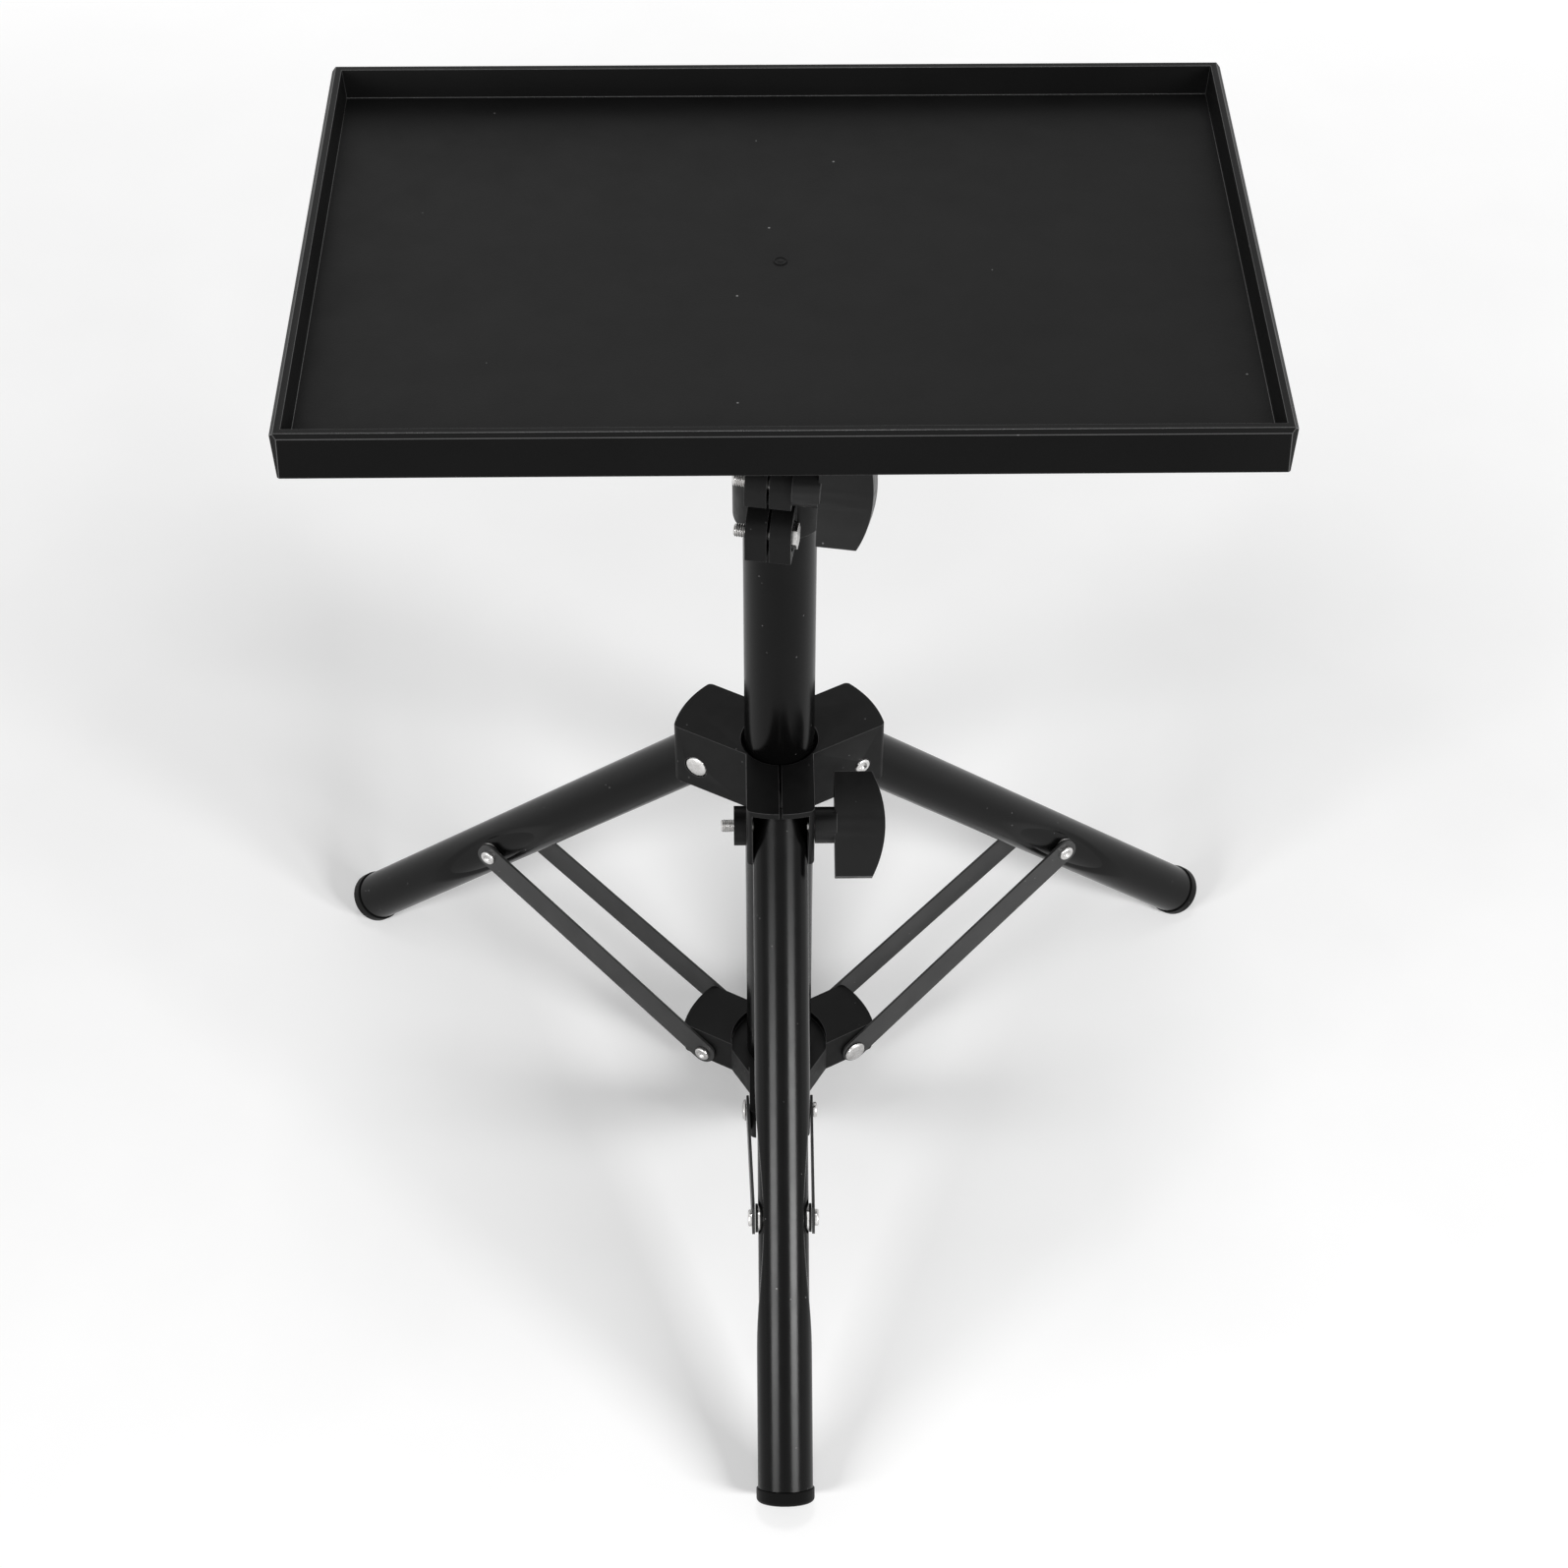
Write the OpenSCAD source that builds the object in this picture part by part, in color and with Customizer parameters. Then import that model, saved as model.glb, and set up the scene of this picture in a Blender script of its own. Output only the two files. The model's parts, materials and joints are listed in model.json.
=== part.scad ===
// Portable stand with a tray on a telescoping pole and three folding legs.
// Z = 0 is the floor, X runs from side to side and the front leg points along -Y.
// The origin is on the floor under the middle of the stand's footprint.

/* [Tray] */
// Width of the tray from side to side
tray_w = 375; // [320:1:420]
// Depth of the tray from front to back
tray_d = 253; // [220:1:300]
// Height of the tray's outer skirt
tray_h = 20.5; // [19.5:0.5:26]
// Depth of the recess that holds the projector
tray_recess = 13; // [10:0.5:16]
// Thickness of the rim round the recess
rim_t = 4.2; // [3:0.1:6]
// Chamfer along the rim's outer edge
rim_chamfer = 1.6; // [0.5:0.1:2.5]
// Cut across each upright corner of the tray
corner_cut = 2.8; // [1:0.1:6]
// Thickness of the tray's floor
tray_floor_t = 2.5; // [2:0.1:3]
// Thickness of the ribs under the tray
rib_t = 2; // [1.2:0.1:3]
// Side of the square pad under the middle of the tray
pad_w = 96; // [90:1:120]

/* [Main pole] */
// Outer diameter of the main pole
pole_d = 32; // [30:0.5:34]
// Wall of the main pole
pole_wall = 1.2; // [0.8:0.1:1.5]
// Length of the main pole
pole_len = 384; // [380:1:420]
// Length of the plug inside the pole's lower end
plug_len = 12; // [8:0.5:16]
// Thickness of the plug's flange
plug_flange_t = 2.5; // [1.5:0.1:4]

/* [Inner pole] */
// Outer diameter of the inner pole
mast_d = 28; // [27:0.5:28.5]
// Wall of the inner pole
mast_wall = 1; // [0.8:0.1:1.5]
// How far the inner pole stands out of the main pole when it is down
mast_out = 50; // [48:1:90]
// Length of the slide bush below the inner pole
bush_len = 8; // [5:0.5:12]
// Gap left between that bush and the main pole's plug
bush_stop = 2; // [1:0.5:20]

/* [Legs] */
// Length of a leg from its pivot to the end of its foot
leg_len = 306; // [285:1:330]
// Angle between an open leg and the pole
leg_angle = 45; // [42:1:48]
// Outer diameter of a leg tube
leg_d = 25; // [22:0.5:26]
// Wall of a leg tube
leg_wall = 1; // [0.8:0.1:1.5]
// Length of a leg above its pivot
leg_over = 8; // [6:0.5:9]
// Width left of a leg tube where the strut bolt crosses it
pinch_w = 18.8; // [18.4:0.1:21]
// Radius of the dents that narrow the tube there
pinch_r = 330; // [250:5:400]
// Diameter of a foot's flange
foot_d = 26.4; // [26:0.1:28]
// Length of a foot's flange
foot_len = 6.4; // [5:0.1:9]
// Rounding of a foot's edge
foot_round = 2; // [1:0.1:3]
// Length of the foot's plug inside the tube
foot_plug = 14; // [8:0.5:20]

/* [Hub and spider] */
// Distance of every leg and strut pivot from the pole's axis
pivot_r = 35; // [34:0.1:38]
// Radius of the arms' round ends
arm_r = 49.3; // [48:0.1:54]
// Width of a hub arm
hub_arm_w = 33.2; // [33:0.1:36]
// Width of the hub's front arm, which its knob pinches
front_arm_w = 30.6; // [30.5:0.1:33]
// Diameter of the boss beside that arm
boss_d = 18; // [14:0.1:19]
// Length of that boss
boss_len = 5.8; // [4.5:0.1:7]
// Height of the hub
hub_h = 34; // [32:0.5:40]
// Rounding of the arms' upright corners
arm_round = 3; // [2:0.1:6]
// Chamfer round the pole in the hub's top
bore_chamfer = 1.8; // [1:0.1:2.2]
// Height of the leg pivot above the hub's lower edge
hub_pivot_up = 12.8; // [11:0.1:14]
// Thickness of the hub's and the spider's top plates
plate_t = 3; // [2:0.1:4]
// Thickness of the ring of the hub round the pole
core_wall = 2.4; // [2:0.1:3]
// Width of the slit that lets the hub pinch the pole
slit_w = 1.2; // [0.8:0.1:2]
// Width of a spider arm
spider_arm_w = 30; // [28:0.1:31]
// Height of the spider
spider_h = 20; // [18:0.5:24]
// Height of the strut pivot above the spider's lower edge
spider_pivot_up = 6.2; // [6:0.1:8]
// Wall of the spider's hollow arms
spider_wall = 3.2; // [2.5:0.1:4]
// Distance of the spider's slanting webs from the pole's axis
web_r = 22.5; // [21:0.1:25]
// Radius of the recess round the pole in the spider's top
recess_r = 24; // [20:0.1:25]
// Depth of that recess
recess_depth = 4; // [2:0.1:6]
// Thickness of the floor left below that recess
socket_t = 3.5; // [3:0.1:5]

/* [Struts] */
// Length of a strut between its bolts
strut_len = 147.6; // [140:0.1:152]
// How much longer the leg is from its pivot to the strut's bolt than the strut is
strut_lead = 30.2; // [22:0.1:36]
// Width of a strut's flat bars
bar_w = 12.5; // [11:0.1:14]
// Thickness of a strut's flat bars
bar_t = 1.3; // [1:0.1:2]
// Thickness of the washers on the leg
washer_t = 3.3; // [3:0.1:4]
// Diameter of those washers
washer_d = 13; // [11:0.1:14]

/* [Bolts] */
// Diameter of every bolt
bolt_d = 6; // [5:0.1:6.5]
// Diameter of a bolt's domed head
dome_d = 11; // [10:0.1:12]
// Height of a bolt's domed head
dome_h = 1.9; // [1.7:0.1:3]
// Diameter of a bolt's plain end
tail_d = 7.6; // [7.2:0.1:9]
// Height of a bolt's plain end
tail_h = 1.8; // [1.2:0.1:3]
// Depth of the pockets that the leg bolts' heads lie in
head_sink = 1.2; // [0.6:0.1:1.6]
// Width of a hexagonal nut over its flats
nut_af = 10; // [9:0.1:11]
// Thickness of a hexagonal nut
nut_t = 4.2; // [3:0.1:5]

/* [Wing knobs] */
// Length of a knob's wing
wing_l = 48; // [44:0.5:50]
// Depth of a wing along its bolt
wing_w = 22.9; // [20:0.1:25]
// Depth of a wing at its two ends
wing_end_w = 17; // [14:0.1:18]
// Thickness of a wing in the middle
wing_t = 14; // [13:0.1:16]
// Thickness of a wing at its two ends
wing_end_t = 9; // [7:0.1:11]
// Diameter of a knob's neck
neck_d = 16.6; // [14:0.1:17]
// Length of a knob's neck
neck_len = 8.9; // [8:0.1:10]

/* [Pole clamp] */
// Direction of the clamp's ears round the pole
clamp_turn = -100; // [-110:1:-70]
// Height of the clamp
clamp_h = 45.5; // [42:0.5:50]
// Length of the clamp's grip on the main pole
clamp_grip = 21.5; // [18:0.5:24]
// Outer radius of the clamp round the main pole
clamp_r = 20.2; // [19.5:0.1:22]
// Outer radius of the clamp round the inner pole
clamp_top_r = 18; // [17:0.1:19]
// Distance of the knob's bolt from the pole's axis
ear_bolt_r = 25.5; // [25:0.1:25.9]
// Distance of the fixed bolt from the pole's axis
low_bolt_r = 24; // [23:0.1:24.5]
// Distance of the ears' front from the pole's axis
ear_r = 32.2; // [32:0.1:34]
// Width over both ears
ear_w = 19.6; // [18:0.1:22]
// Height of the upper ear
high_ear_h = 16.4; // [15:0.1:19]
// Height of the lower ear
low_ear_h = 21.5; // [20:0.1:23]
// Height of the fixed bolt above the clamp's lower edge
low_bolt_up = 9.2; // [8.5:0.1:12]
// Rounding of an ear's upper front edge
ear_round = 11; // [4:0.5:13]
// Chamfer round the clamp's lower edge
clamp_chamfer = 2; // [0.5:0.1:3]
// Clearance between the clamp's side and the wing that turns past it
wing_gap = 0.7; // [0.5:0.1:2]

/* [Tilt head] */
// Outer radius of the socket on the inner pole
base_r = 18; // [17:0.1:20]
// Depth of the inner pole's seat in the socket
base_seat = 20; // [16:0.5:20]
// Height of the tilt bolt above the inner pole's top
tilt_up = 16.5; // [16:0.1:20]
// Thickness of the socket's roof
base_roof = 3; // [2:0.1:3]
// Radius of the round end of the tongue and the cheeks
knuckle_r = 12; // [10:0.1:12]
// Thickness of the tongue
tongue_t = 18; // [14:0.1:20]
// Thickness of each of the bracket's cheeks
cheek_t = 5.5; // [4:0.1:6]
// Side of the bracket's square plate
bracket_w = 88; // [76:1:90]
// Thickness of the bracket's plate
bracket_t = 4; // [3:0.1:5]
// Height of the gussets beside the bracket's cheeks
gusset_h = 14; // [8:0.5:16]
// Reach of the gussets along the plate
gusset_w = 11; // [6:0.5:12]
// Thickness of a gusset
gusset_t = 2.5; // [2:0.1:4]
// Height of the tray's lower edge above the tilt bolt
tray_up = 33.7; // [33:0.1:38]
// Distance of the bracket's screws from the middle, both ways
screw_at = 34; // [28:0.5:36]
// Diameter of the bracket's screws
screw_d = 4; // [3:0.1:5]

/* [Hidden] */
$fn = 64;
arc_fn = 256; // sides of a full circle where only a short arc of it shows

// Clearances, each shared by the two pieces that meet
run_gap = 0.08; // round parts that turn or slide on each other
seat_gap = 0.05; // round parts that are fixed in each other
side_gap = 0.3; // flat faces of moving parts
hub_wing_angle = 38; // how far the outer end of each knob's wing leans down at rest
high_wing_angle = 70;
tilt_wing_angle = 45;
pivot_gap = 0.25; // the strut's open pivot
over = 1; // how far a cut runs past a face
arc_over = 0.1; // how far an arm's corner circles run past its round end
thread_out = 5.8; // bare thread beyond a nut

// Directions of the legs round the pole
front_az = -90;
right_az = 30;
left_az = 150;
azimuths = [front_az, right_az, left_az];
azimuth_step = right_az - front_az;

// Radii
pole_r = pole_d / 2;
pole_in_r = pole_r - pole_wall;
mast_r = mast_d / 2;
mast_in_r = mast_r - mast_wall;
leg_r = leg_d / 2;
leg_in_r = leg_r - leg_wall;
foot_r = foot_d / 2;
bolt_r = bolt_d / 2;
bore_r = bolt_r + run_gap;
core_r = pole_r + core_wall;

// Heights, from the floor up
strut_at = strut_len + strut_lead;
disc_r = foot_r - foot_round;
hub_pivot_z = (leg_len - foot_round) * cos(leg_angle)
    + disc_r * sin(leg_angle) + foot_round;
hub_z = hub_pivot_z - hub_pivot_up;
hub_top = hub_z + hub_h;
strut_angle = asin(strut_at * sin(leg_angle) / strut_len);
spider_pivot_z = hub_pivot_z - strut_at * cos(leg_angle)
    - strut_len * cos(strut_angle);
spider_z = spider_pivot_z - spider_pivot_up;
spider_top = spider_z + spider_h;
pole_z = spider_z;
pole_top = pole_z + pole_len;
clamp_z = pole_top - clamp_grip;
clamp_top = clamp_z + clamp_h;
low_ear_z = clamp_z;
high_ear_z = clamp_top - high_ear_h;
low_bolt_z = low_ear_z + low_bolt_up;
high_bolt_z = high_ear_z + high_ear_h / 2;
mast_top = pole_top + mast_out;
mast_z = pole_z + plug_len + bush_stop + bush_len;
base_z = mast_top - base_seat;
base_top = mast_top + base_roof;
tilt_z = mast_top + tilt_up;
tray_z = tilt_z + tray_up;
tray_top = tray_z + tray_h;
tray_floor_z = tray_top - tray_recess;

// Place of the pole, which puts the origin under the middle of the footprint
reach_r = pivot_r + (leg_len - foot_round) * sin(leg_angle);
front_reach = reach_r + disc_r * cos(leg_angle) + foot_round;
back_reach = reach_r * sin(right_az)
    + disc_r * sqrt(1 - pow(sin(leg_angle) * sin(right_az), 2)) + foot_round;
front_most = max(front_reach, tray_d / 2);
back_most = max(back_reach, tray_d / 2);
pole_y = (front_most - back_most) / 2;

// Hub and knobs
slot_w = leg_d + 2 * side_gap;
hub_half = hub_arm_w / 2;
front_half = front_arm_w / 2;
nut_r = nut_af / 2 / cos(30);
nut_slot_r = (nut_af + 2 * seat_gap) / 2 / cos(30);
knob_hole = neck_len + wing_w / 2; // depth of the bolt in a knob

// Struts
bar_spider_y = spider_arm_w / 2 + side_gap;
washer_r = washer_d / 2;
washer_seat = pinch_w / 2 + pinch_r - sqrt(pow(pinch_r, 2) - pow(washer_r, 2));
washer_y = pinch_w / 2 + washer_t;
bar_leg_y = washer_y + pivot_gap;
bar_slant = asin((bar_spider_y - bar_leg_y) / strut_len);

// Clamp and head
slit_r = clamp_r;
clamp_step_z = pole_top + socket_t;
ear_half = ear_w / 2;
high_neck_len = clamp_r + wing_gap - ear_half - side_gap;
high_knob_hole = high_neck_len + wing_w / 2;
low_pocket = 2.2; // depth of the round pocket for the fixed nut
low_pocket_r = 6.9; // radius of that pocket
tongue_half = tongue_t / 2;
cheek_in = tongue_half + side_gap;
cheek_out = cheek_in + cheek_t;

// Tray
tray_draft = 1; // how far each side leans in towards the lower edge
recess_draft = 1; // the same inside the recess
pad_depth = tray_h - tray_recess - tray_floor_t;
screw_len = pad_depth + bracket_t;
screw_head_r = screw_d;
screw_head_t = screw_d / 2;
rib_count_x = 6;
rib_count_y = 4;

// Round helpers

module on_pole() {
    translate([0, pole_y, 0]) children();
}

// Puts its children in a leg's upright plane, with X pointing outwards
module arm(az) {
    on_pole() rotate([0, 0, az]) children();
}

// Along the leg: Z runs from the pivot to the foot
module along_leg(az) {
    arm(az) translate([pivot_r, 0, hub_pivot_z])
        rotate([0, 180 - leg_angle, 0]) children();
}

// Along the strut: Z runs from the spider to the leg
module along_strut(az) {
    arm(az) translate([pivot_r, 0, spider_pivot_z])
        rotate([0, strut_angle, 0]) children();
}

// A round bar along Y, from one value of Y to another
module bar_y(r, from, to) {
    translate([0, from, 0]) rotate([-90, 0, 0]) cylinder(r = r, h = to - from);
}

module tube(r, in_r, h) {
    difference() {
        cylinder(r = r, h = h);
        translate([0, 0, -over]) cylinder(r = in_r, h = h + 2 * over);
    }
}

// A bolt's domed head on the face at Y = 0, pointing to +Y
module dome_head() {
    ball_r = (pow(dome_d / 2, 2) + pow(dome_h, 2)) / (2 * dome_h);
    intersection() {
        translate([0, dome_h - ball_r, 0]) sphere(r = ball_r);
        bar_y(dome_d / 2, 0, dome_h);
    }
}

// A bolt's plain end with a small dimple, on the face at Y = 0, pointing to +Y
module tail_end() {
    difference() {
        bar_y(tail_d / 2, 0, tail_h);
        bar_y(tail_d / 4, tail_h / 2, tail_h + over);
    }
}

// A bolt across Y with its dome on the +Y side
module cross_bolt(dome_y, tail_y) {
    bar_y(bolt_r, -tail_y, dome_y);
    translate([0, dome_y, 0]) dome_head();
    mirror([0, 1, 0]) translate([0, tail_y, 0]) tail_end();
}

// A hexagonal nut along Y with a bore for its bolt
module nut(bore) {
    difference() {
        rotate([-90, 0, 0]) cylinder(r = nut_r, h = nut_t, $fn = 6);
        bar_y(bore, -over, nut_t + over);
    }
}

// Main pole and what is fixed to it

module main_pole() {
    color("#1b1b1c") on_pole() translate([0, 0, pole_z])
        tube(pole_r, pole_in_r, pole_len);
}

module pole_end_plug() {
    color("#141414") on_pole() {
        translate([0, 0, pole_z - plug_flange_t])
            cylinder(r = pole_r, h = plug_flange_t);
        translate([0, 0, pole_z - over])
            cylinder(r = pole_in_r - seat_gap, h = plug_len + over);
    }
}

// An arm from above: straight sides, a round end and rounded corners
module arm_plan(az, half) {
    corner_y = half - arm_round;
    corner_x = sqrt(pow(arm_r - arm_round + arc_over, 2) - pow(corner_y, 2));
    end_y = corner_y + arm_round / 4;
    rotate([0, 0, az]) intersection() {
        circle(r = arm_r);
        union() {
            translate([0, -half]) square([corner_x, 2 * half]);
            translate([0, -end_y]) square([arm_r + over, 2 * end_y]);
            for (side = [-1, 1])
                translate([corner_x, side * corner_y]) circle(r = arm_round);
        }
    }
}

module spider_plan() {
    for (az = azimuths) arm_plan(az, spider_arm_w / 2);
    intersection() {
        circle(r = arm_r - arm_round);
        rotate([0, 0, front_az]) circle(r = web_r / cos(azimuth_step / 2), $fn = 3);
    }
}

module lower_spider() {
    hollow_w = spider_arm_w - 2 * spider_wall;
    hollow_r = pole_r + spider_wall;
    color("#1a1a1a") difference() {
        on_pole() translate([0, 0, spider_z]) linear_extrude(spider_h) spider_plan();
        on_pole() translate([0, 0, spider_z - over])
            cylinder(r = pole_r + seat_gap, h = spider_h + 2 * over);
        on_pole() translate([0, 0, spider_top - recess_depth])
            cylinder(r = recess_r, h = recess_depth + over);
        for (az = azimuths) {
            arm(az) translate([hollow_r, -hollow_w / 2, spider_z - over])
                cube([arm_r, hollow_w, spider_h - plate_t - socket_t + over]);
            arm(az) translate([pivot_r, 0, spider_pivot_z])
                bar_y(bolt_r + seat_gap, -spider_arm_w, spider_arm_w);
        }
    }
}

// The strut turns on this bolt, and its plain end faces +Y
module spider_bolt(az) {
    y = bar_spider_y + bar_t + side_gap;
    color("#c9c9c6") arm(az) translate([pivot_r, 0, spider_pivot_z])
        mirror([0, 1, 0]) cross_bolt(y, y);
}

// An ear from the pole's axis outwards, with a rounded upper front edge
module ear(z, h) {
    translate([0, ear_half, z]) rotate([90, 0, 0]) linear_extrude(ear_w) {
        square([ear_r - ear_round, h]);
        square([ear_r, h - ear_round]);
        translate([ear_r - ear_round, h - ear_round]) intersection() {
            circle(r = ear_round);
            square(ear_round);
        }
    }
}

module top_clamp() {
    color("#1a1a1a") arm(clamp_turn) difference() {
        union() {
            translate([0, 0, clamp_z])
                cylinder(r1 = clamp_r - clamp_chamfer, r2 = clamp_r, h = clamp_chamfer);
            translate([0, 0, clamp_z + clamp_chamfer])
                cylinder(r = clamp_r, h = clamp_step_z - clamp_z - clamp_chamfer);
            translate([0, 0, clamp_step_z])
                cylinder(r = clamp_top_r, h = clamp_top - clamp_step_z);
            ear(low_ear_z, low_ear_h);
            ear(high_ear_z, high_ear_h);
        }
        translate([0, 0, clamp_z - over])
            cylinder(r = pole_r + seat_gap, h = clamp_grip + over);
        translate([0, 0, clamp_z - over])
            cylinder(r = mast_r + run_gap, h = clamp_h + 2 * over);
        translate([0, -slit_w / 2, clamp_z - over])
            cube([ear_r + over, slit_w, clamp_h + 2 * over]);
        translate([low_bolt_r, 0, low_bolt_z])
            bar_y(bolt_r + seat_gap, -ear_w, ear_w);
        translate([ear_bolt_r, 0, high_bolt_z])
            bar_y(bolt_r + run_gap, -ear_w, ear_w);
        translate([low_bolt_r, 0, low_bolt_z])
            bar_y(low_pocket_r, ear_half - low_pocket, ear_half + over);
        translate([ear_bolt_r, -ear_half - over, high_bolt_z])
            rotate([-90, 0, 0]) cylinder(r = nut_slot_r, h = nut_t + over, $fn = 6);
    }
}

// Bare thread on the left, nut in a round pocket on the right
module clamp_bolt() {
    color("#c9c9c6") arm(clamp_turn) translate([low_bolt_r, 0, low_bolt_z])
        bar_y(bolt_r, -ear_half - thread_out, ear_half + nut_t - low_pocket);
}

module clamp_nut() {
    color("#c9c9c6") arm(clamp_turn)
        translate([low_bolt_r, ear_half - low_pocket, low_bolt_z])
            nut(bolt_r + seat_gap);
}

// Hub that slides on the pole and carries the legs

module hub_plan() {
    circle(r = core_r);
    arm_plan(front_az, front_half);
    arm_plan(right_az, hub_half);
    arm_plan(left_az, hub_half);
}

module leg_hub() {
    color("#1a1a1a") difference() {
        union() {
            on_pole() translate([0, 0, hub_z]) linear_extrude(hub_h) hub_plan();
            arm(front_az) translate([pivot_r, 0, hub_pivot_z])
                bar_y(boss_d / 2, -front_half - boss_len, -front_half + over);
        }
        on_pole() translate([0, 0, hub_z - over])
            cylinder(r = pole_r + run_gap, h = hub_h + 2 * over);
        for (az = azimuths) {
            difference() {
                arm(az) translate([0, -slot_w / 2, hub_z - over])
                    cube([arm_r + over, slot_w, hub_h - plate_t + over]);
                on_pole() cylinder(r = core_r, h = hub_top);
            }
            arm(az) translate([pivot_r, 0, hub_pivot_z])
                bar_y(az == front_az ? bore_r : bolt_r + seat_gap, -arm_r, arm_r);
        }
        on_pole() translate([0, 0, hub_top - bore_chamfer])
            cylinder(r1 = pole_r, r2 = pole_r + bore_chamfer, h = bore_chamfer);
        for (az = [right_az, left_az])
            arm(az) translate([pivot_r, 0, hub_pivot_z]) {
                bar_y(dome_d / 2 + side_gap, hub_half - head_sink, arm_r);
                bar_y(tail_d / 2 + side_gap, -arm_r, -hub_half + head_sink);
            }
        arm(front_az) translate([0, -slit_w / 2, hub_z - over])
            cube([arm_r + over, slit_w, hub_h + 2 * over]);
        arm(front_az) translate([pivot_r, -front_half - boss_len - over, hub_pivot_z])
            rotate([-90, 0, 0]) cylinder(r = nut_slot_r, h = nut_t + over, $fn = 6);
    }
}

module hub_nut() {
    color("#c9c9c6") arm(front_az)
        translate([pivot_r, -front_half - boss_len, hub_pivot_z]) nut(bore_r);
}

module pivot_bolt(az) {
    color("#c9c9c6") arm(az) translate([pivot_r, 0, hub_pivot_z])
        cross_bolt(hub_half - head_sink, hub_half - head_sink);
}

// Radius of an arc with a given half chord that rises by a given height
function arc_r(half_chord, rise) = (pow(half_chord, 2) + pow(rise, 2)) / (2 * rise);

// A wing knob whose neck starts at Y = 0, with the hole for its bolt
module wing_knob(neck, hole, angle) {
    edge_r = arc_r(wing_l / 2, wing_w - wing_end_w);
    face_r = arc_r(wing_l / 2, (wing_t - wing_end_t) / 2);
    color("#191919") rotate([0, angle, 0]) difference() {
        union() {
            bar_y(neck_d / 2, 0, neck + over);
            translate([0, neck, 0]) intersection() {
                translate([-wing_l / 2, 0, -wing_t / 2]) cube([wing_l, wing_w, wing_t]);
                translate([0, wing_w - edge_r, 0])
                    cylinder(r = edge_r, h = wing_t, center = true, $fn = arc_fn);
                translate([0, 0, wing_t / 2 - face_r])
                    bar_y(face_r, -over, wing_w + over, $fn = arc_fn);
                translate([0, 0, face_r - wing_t / 2])
                    bar_y(face_r, -over, wing_w + over, $fn = arc_fn);
            }
        }
        bar_y(bolt_r + seat_gap, -over, hole);
    }
}

module hub_knob() {
    arm(front_az) translate([pivot_r, front_half + side_gap, hub_pivot_z])
        wing_knob(neck_len, knob_hole, hub_wing_angle);
}

module hub_knob_bolt() {
    color("#c9c9c6") arm(front_az) translate([pivot_r, 0, hub_pivot_z])
        bar_y(bolt_r, -front_half - boss_len - thread_out, front_half + side_gap + knob_hole);
}

// Legs

// The tube's outline with its two dents, grown or shrunk by a wall
module leg_form(r, shrink, from, to) {
    difference() {
        translate([0, 0, from]) cylinder(r = r, h = to - from);
        for (side = [-1, 1])
            translate([0, side * (pinch_w / 2 + pinch_r), strut_at])
                rotate([0, 90, 0])
                    cylinder(r = pinch_r + shrink, h = 2 * leg_d, center = true, $fn = arc_fn);
    }
}

module leg(az) {
    tube_end = leg_len - foot_len;
    color("#1b1b1c") along_leg(az) difference() {
        leg_form(leg_r, 0, -leg_over, tube_end);
        leg_form(leg_in_r, leg_wall, -leg_over - over, tube_end + over);
        bar_y(bore_r, -leg_d, leg_d);
        translate([0, 0, strut_at]) bar_y(bolt_r + seat_gap, -leg_d, leg_d);
    }
}

module foot(az) {
    tube_end = leg_len - foot_len;
    color("#111111") along_leg(az) {
        translate([0, 0, tube_end - foot_plug])
            cylinder(r = leg_in_r - seat_gap, h = foot_plug + over);
        translate([0, 0, tube_end]) cylinder(r = foot_r, h = foot_len - foot_round);
        translate([0, 0, tube_end]) cylinder(r = disc_r, h = foot_len);
        translate([0, 0, leg_len - foot_round]) rotate_extrude()
            translate([disc_r, 0]) intersection() {
                circle(r = foot_round, $fn = 32);
                square(foot_round);
            }
    }
}

// Spacer tube through the leg with a washer at each end
module leg_sleeve(az) {
    color("#b9b9b6") along_leg(az) translate([0, 0, strut_at]) {
        bar_y(bolt_r, -washer_y, washer_y);
        bar_y(washer_r, washer_seat, washer_y);
        bar_y(washer_r, -washer_y, -washer_seat);
    }
}

// Struts: a pair of flat bars that close in towards the leg

module flat_bar() {
    translate([0, bar_t, 0]) rotate([90, 0, 0]) linear_extrude(bar_t) difference() {
        union() {
            translate([-bar_w / 2, 0]) square([bar_w, strut_len]);
            circle(r = bar_w / 2);
            translate([0, strut_len]) circle(r = bar_w / 2);
        }
        circle(r = bore_r);
        translate([0, strut_len]) circle(r = bore_r);
    }
}

module both_bars() {
    for (side = [0, 1])
        mirror([0, side, 0]) translate([0, bar_spider_y, 0])
            rotate([bar_slant, 0, 0]) children();
}

module strut(az) {
    color("#2a2a2b") along_strut(az) both_bars() flat_bar();
}

// Outer ends of the bolt at the strut's open pivot
module strut_bolt(az) {
    color("#c9c9c6") along_strut(az) both_bars()
        translate([0, 0, strut_len]) {
            bar_y(bolt_r, 0, bar_t);
            translate([0, bar_t, 0]) tail_end();
        }
}

// Inner pole and head

module inner_pole() {
    color("#1d1d1e") on_pole() translate([0, 0, mast_z])
        tube(mast_r, mast_in_r, mast_top - mast_z);
}

module pole_bush() {
    color("#141414") on_pole() {
        translate([0, 0, mast_z - bush_len])
            cylinder(r = pole_in_r - run_gap, h = bush_len);
        translate([0, 0, mast_z - over])
            cylinder(r = mast_in_r - seat_gap, h = bush_len + over);
    }
}

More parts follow.
